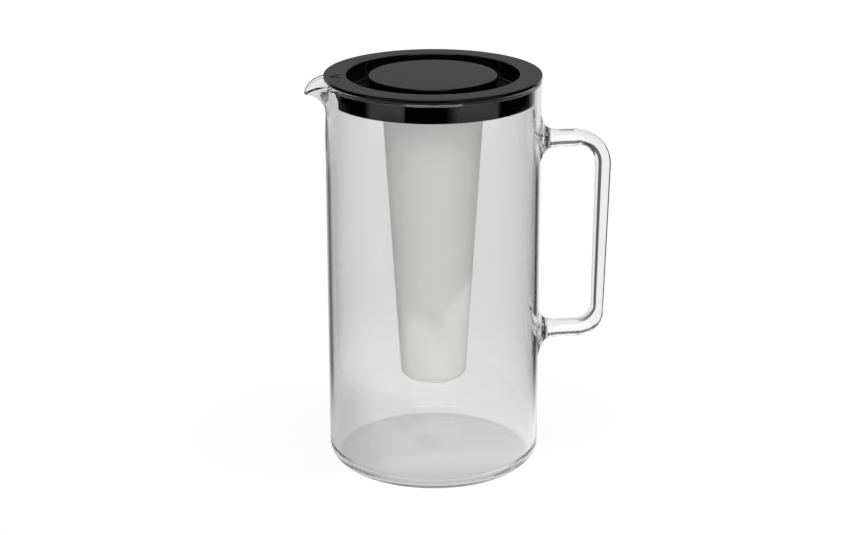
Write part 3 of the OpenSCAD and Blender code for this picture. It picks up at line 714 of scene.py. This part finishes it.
def makeFloor():
    # a white sweep that keeps a soft shadow; glass and gloss see a plain pale floor near the jug, a
    # painted shadow under it, and the room past that
    rings = np.array([(radius, -floorLook["gap"]) for radius in floorLook["radii"]])
    floor = addSurface("floorSweep", [revolve(rings, evenAngles(floorLook["columns"]))])
    material, tree = newMaterial("white paper sweep")
    place = addNode(tree, "ShaderNodeTexCoord").outputs["Object"]
    fibre = addNode(tree, "ShaderNodeTexNoise", {"Scale": floorLook["fibresPerMm"] / mm, "Detail": 2.0},
                    {"Vector": place})
    tone = addRamp(tree, fibre.outputs["Fac"], floorLook["paper"])
    paper = addNode(tree, "ShaderNodeBsdfDiffuse", links={"Color": tone})
    far = addNode(tree, "ShaderNodeVectorMath", {"operation": "LENGTH"}, {0: place})
    reach = addNode(tree, "ShaderNodeMapRange", {"From Max": floorLook["reach"] * mm},
                    {"Value": far.outputs["Value"]})
    white = addRamp(tree, reach.outputs["Result"], floorLook["white"])
    fade = addRamp(tree, reach.outputs["Result"], floorLook["fade"])
    glow = addNode(tree, "ShaderNodeEmission", {"Color": (1, 1, 1, 1), "Strength": 1.0})
    # painted shadow: under the jug the glowing floor that glass and gloss see is darker, most on the
    # spout's side and in front
    paintedShadowTone = addRamp(tree, reach.outputs["Result"], floorLook["seen"])
    axes = addNode(tree, "ShaderNodeSeparateXYZ", links={0: place}).outputs
    span = {"From Min": -floorLook["span"] * mm, "From Max": floorLook["span"] * mm}
    for axis, stops in (("X", floorLook["paintedShadeAlongX"]), ("Y", floorLook["paintedShadeAlongY"])):
        along = addNode(tree, "ShaderNodeMapRange", span, {"Value": axes[axis]})
        dimmed = addNode(tree, "ShaderNodeMix", {"data_type": "RGBA", "blend_type": "MULTIPLY", 0: 1.0}, {
            6: paintedShadowTone, 7: addRamp(tree, along.outputs["Result"], stops)})
        paintedShadowTone = dimmed.outputs[2]
    seen = addNode(tree, "ShaderNodeEmission", {"Strength": 1.0}, {"Color": paintedShadowTone})
    past = addNode(tree, "ShaderNodeBsdfTransparent")
    path = addNode(tree, "ShaderNodeLightPath")
    bent = addNode(tree, "ShaderNodeMath", {"operation": "MAXIMUM"},
                   {0: path.outputs["Is Glossy Ray"], 1: path.outputs["Is Transmission Ray"]}).outputs[0]
    toCamera = addNode(tree, "ShaderNodeMath", {"operation": "MULTIPLY"},
                       {0: path.outputs["Is Camera Ray"], 1: white})
    toBent = addNode(tree, "ShaderNodeMath", {"operation": "MULTIPLY", 1: floorLook["seenShare"]},
                     {0: bent})
    faded = addNode(tree, "ShaderNodeMath", {"operation": "MULTIPLY"}, {0: bent, 1: fade})
    shown = paper
    for share, shader in ((toCamera, glow), (toBent, seen), (faded, past)):
        shown = addNode(tree, "ShaderNodeMixShader", links={
            0: share.outputs[0], 1: shown.outputs[0], 2: shader.outputs[0]})
    addNode(tree, "ShaderNodeOutputMaterial", links={"Surface": shown.outputs[0]})
    floor.data.materials.append(material)


# brightness of the room in each way that it is seen: by the sine of the angle above the horizon, and by
# the angle in degrees to the right of the line of sight, with 0 straight behind the jug
room = {
    "wall": ((-1, 0.85), (-0.4, 0.90), (0, 0.92), (0.2, 0.75), (0.36, 0.1), (0.72, 0.08), (0.86, 0.9)),
    "rodWall": ((-1, 0.85), (-0.3, 0.95), (-0.02, 0.95), (0.03, 0.1), (0.32, 0.1), (0.42, 0.9),
                (0.8, 0.3)),
    "rodFlags": ((-150, 0.9), (-94, 0.12), (-44, 0.1), (-38, 1.0), (9, 1.0), (13, 0.15), (27, 0.12),
                 (33, 0.95), (110, 0.9), (140, 0.3), (160, 0.9)),
    "mirrored": ((-1, 0.85), (-0.6, 0.8), (-0.45, 0.0), (-0.1, 0.0), (0.04, 0.31), (0.36, 0.31),
                 (0.5, 0.03), (0.9, 0.01)),
    "mirroredTurn": ((-100, 0.4), (-60, 1.0), (60, 1.0), (100, 0.4)),
    "ceiling": ((-0.02, 0.0), (0.1, 0.6), (1, 0.8)),
    "edges": ((-60, 0.0), (-50, 0.08), (-42, 0.45), (-31, 0.75), (-25, 0.5), (-16, 0.25), (-10, 0.18),
              (0, 0.5), (10, 0.8), (28, 0.8), (36, 0.65), (42, 0.4), (50, 0.06), (60, 0.0)),
    "edgesLow": ((-80, 0.0), (-60, 0.5), (40, 0.5), (60, 0.3), (80, 0.0)),
    "edgeFlags": ((-80, 0.0), (-55, 0.14), (-44, 0.26), (-31, 0.28), (-28, 0.12), (-26, 0.02),
                  (-23, 0.02), (-20, 0.36), (-12, 0.42), (0, 0.5), (12, 0.8), (18, 0.6), (22, 0.2),
                  (25, 0.04), (48, 0.05), (80, 0.0)),
    "edgeFlagHeight": ((-0.276, 1.0), (-0.264, 0.0)),
    "edgeLowHeight": ((-0.392, 1.0), (-0.376, 0.0)),
    "belowHorizon": ((-0.08, 1.0), (0.0, 0.0)),
    "windows": ((-150.5, 0.0), (-148.5, 0.56), (-112, 0.5), (-102, 0.0), (104, 0.0), (109, 0.5),
                (148, 0.56), (168, 0.0)),
    "windowHeight": ((-0.262, 0.0), (-0.252, 1.0), (-0.2, 1.0), (-0.19, 0.0)),
}


def makeWorld():
    # white behind the jug, a pale wall seen through the glass, and in mirrors a dim room with two
    # windows in front and dark flags that draw the edges of the glass
    world = bpy.data.worlds.new("studio")
    bpy.context.scene.world = world
    world.use_nodes = True
    tree = world.node_tree
    tree.nodes.clear()
    direction = addNode(tree, "ShaderNodeTexCoord").outputs["Generated"]
    turned = addNode(tree, "ShaderNodeMapping", {
        "vector_type": "POINT", "Rotation": (0, 0, math.radians(-studio["azimuth"]))},
        {"Vector": direction})
    axes = addNode(tree, "ShaderNodeSeparateXYZ", links={0: turned.outputs["Vector"]}).outputs
    height = addNode(tree, "ShaderNodeMapRange", {"From Min": -1.0, "From Max": 1.0},
                     {"Value": axes["Z"]})
    angle = addNode(tree, "ShaderNodeMath", {"operation": "ARCTAN2"}, {0: axes["X"], 1: axes["Y"]})
    turn = addNode(tree, "ShaderNodeMapRange", {"From Min": -math.pi, "From Max": math.pi},
                   {"Value": angle.outputs[0]})

    def byHeight(name):
        stops = [(0.5 + sine / 2, level) for sine, level in room[name]]
        return addRamp(tree, height.outputs["Result"], stops)

    def byAngle(name):
        stops = [(0.5 + degrees / 360, level) for degrees, level in room[name]]
        return addRamp(tree, turn.outputs["Result"], stops)

    def blend(kind, a, b, factor=None):
        links = {6: a, 7: b} if factor is None else {0: factor, 6: a, 7: b}
        mix = addNode(tree, "ShaderNodeMix", {"data_type": "RGBA", "blend_type": kind, 0: 1.0}, links)
        return mix.outputs[2]

    path = addNode(tree, "ShaderNodeLightPath")
    # a ray through the rod alone has crossed no more than two skins, and one off an edge was mirrored
    mostRodSkins, noMirrors = 2.5, 0.5
    thin = addNode(tree, "ShaderNodeMath", {"operation": "LESS_THAN", 1: mostRodSkins},
                   {0: path.outputs["Transmission Depth"]}).outputs[0]
    bounced = addNode(tree, "ShaderNodeMath", {"operation": "GREATER_THAN", 1: noMirrors},
                      {0: path.outputs["Glossy Depth"]}).outputs[0]
    rods = blend("MULTIPLY", byHeight("rodWall"), byAngle("rodFlags"))
    straight = blend("MIX", byHeight("wall"), rods, thin)
    edges = blend("MIX", byAngle("edges"), byAngle("edgeFlags"), byHeight("edgeFlagHeight"))
    edges = blend("MIX", edges, byAngle("edgesLow"), byHeight("edgeLowHeight"))
    mirrored = blend("MULTIPLY", byHeight("mirrored"), byAngle("mirroredTurn"))
    mirrored = blend("LIGHTEN", mirrored, blend("MULTIPLY", edges, byHeight("belowHorizon")))
    mirrored = blend("LIGHTEN", mirrored, blend("MULTIPLY", byAngle("windows"), byHeight("windowHeight")))
    caught = blend("LIGHTEN", mirrored, byHeight("ceiling"))
    throughGlass = blend("MIX", straight, caught, bounced)
    through = addNode(tree, "ShaderNodeBackground", links={"Color": throughGlass})
    white = addNode(tree, "ShaderNodeBackground", {"Color": (1, 1, 1, 1), "Strength": 1.0})
    ambient = addNode(tree, "ShaderNodeBackground", {
        "Color": (1, 1, 1, 1), "Strength": studio["ambient"]})
    gloss = addNode(tree, "ShaderNodeBackground", links={"Color": mirrored})
    shown = ambient
    rays = (("Is Glossy Ray", gloss), ("Is Transmission Ray", through), ("Is Camera Ray", white))
    for ray, seen in rays:
        shown = addNode(tree, "ShaderNodeMixShader", links={
            "Fac": path.outputs[ray], 1: shown.outputs[0], 2: seen.outputs[0]})
    addNode(tree, "ShaderNodeOutputWorld", links={"Surface": shown.outputs[0]})


makeWorld()
makeFloor()
makeCamera()
addSoftbox("frontSoftbox", studio["azimuth"], softbox["distance"], softbox["level"], softbox)
# two small lamps high above the front, under which the lid throws a crisp shadow on the core; they are
# left out of mirrors
for name, right, distance, level in highLamps:
    lamp = addSoftbox(name, studio["azimuth"] + right, distance, level, highLamp)
    lamp.visible_glossy = False
# glass needs many bounces, or its thick heel and welds turn black
cycles = bpy.context.scene.cycles
cycles.max_bounces = studio["bounces"]
cycles.transmission_bounces = studio["glassBounces"]
cycles.glossy_bounces = studio["mirrorBounces"]
bpy.context.scene.view_settings.view_transform = "Standard"
print("stage: studio ready")
